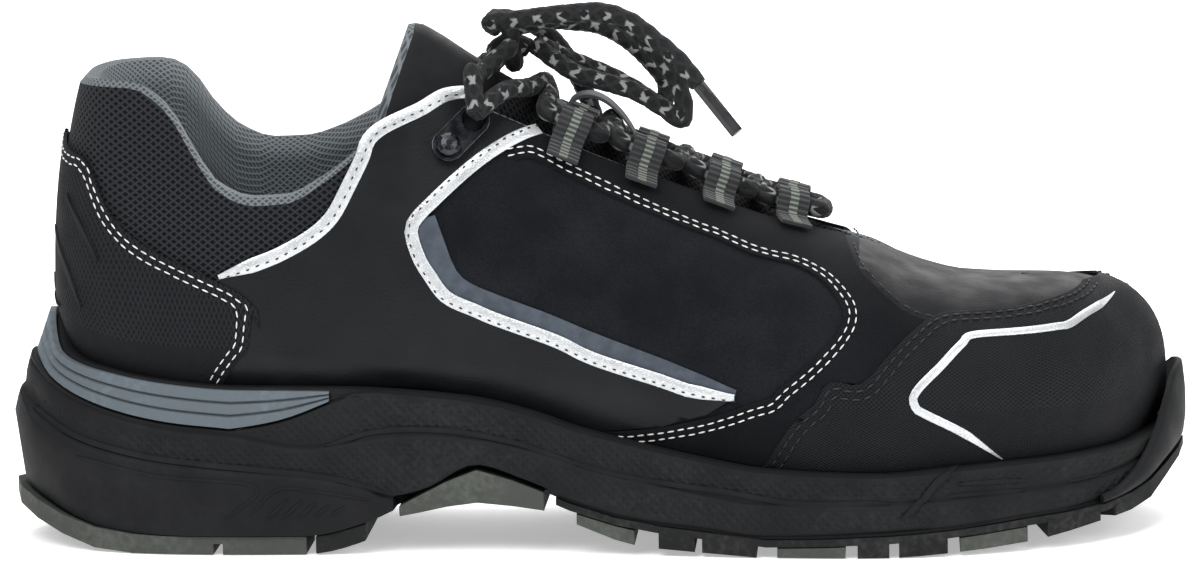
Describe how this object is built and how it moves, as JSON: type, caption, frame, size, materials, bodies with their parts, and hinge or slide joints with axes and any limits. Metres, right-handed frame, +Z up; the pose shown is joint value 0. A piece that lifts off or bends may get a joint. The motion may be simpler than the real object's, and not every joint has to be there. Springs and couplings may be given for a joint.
{
  "type": "safety sneaker",
  "caption": "Low safety sneaker with a padded collar, webbing lace loops, round lace and a stepped two-density sole with a bridged arch.",
  "frame": {"origin": "on the floor under the middle of the shoe's length and width, its free lace ends left out", "axes": "+X towards the toe, +Y towards the inner side of the foot, +Z up"},
  "size_m": [0.305, 0.1078, 0.1377],
  "materials": {
    "aglet": "smooth",
    "grey_rubber": "matt moulded rubber",
    "sole_rubber": "matt moulded rubber",
    "heel_band": "satin moulded rubber",
    "guard": "coated grain",
    "gunmetal": "gunmetal satin",
    "lining": "woven mesh",
    "lace": "round braid",
    "keeper_leather": "glossy",
    "webbing": "woven ribbon",
    "tongue": "leather and mesh",
    "upper_leather": "matt nubuck"
  },
  "bodies": {
    "root": {"aglet_far": "aglet", "aglet_near": "aglet", "arch_bridge": "grey_rubber", "forefoot_outsole": "sole_rubber", "heel_band": "heel_band", "heel_breast_lug": "sole_rubber", "heel_counter": "guard", "heel_outsole": "grey_rubber", "hook_rivet_lateral": "gunmetal", "hook_rivet_medial": "gunmetal", "insole": "lining", "lace_bar": "lace", "lace_crossing_1": "lace", "lace_crossing_2": "lace", "lace_crossing_3": "lace", "lace_crossing_4": "lace", "lace_end_far": "lace", "lace_end_near": "lace", "lace_hook_lateral": "gunmetal", "lace_hook_medial": "gunmetal", "lace_keeper": "keeper_leather", "lace_knot": "lace", "lace_loop_far": "lace", "lace_loop_lateral_1": "webbing", "lace_loop_lateral_2": "webbing", "lace_loop_lateral_3": "webbing", "lace_loop_lateral_4": "webbing", "lace_loop_medial_1": "webbing", "lace_loop_medial_2": "webbing", "lace_loop_medial_3": "webbing", "lace_loop_medial_4": "webbing", "lace_loop_near": "lace", "midsole": "sole_rubber", "toe_bumper": "sole_rubber", "toe_guard": "guard", "tongue": "tongue", "tread_block_lateral_1": "grey_rubber", "tread_block_lateral_2": "grey_rubber", "tread_block_lateral_3": "grey_rubber", "tread_block_medial_1": "grey_rubber", "tread_block_medial_2": "grey_rubber", "tread_block_medial_3": "grey_rubber", "upper": "upper_leather"}
  },
  "joints": []
}
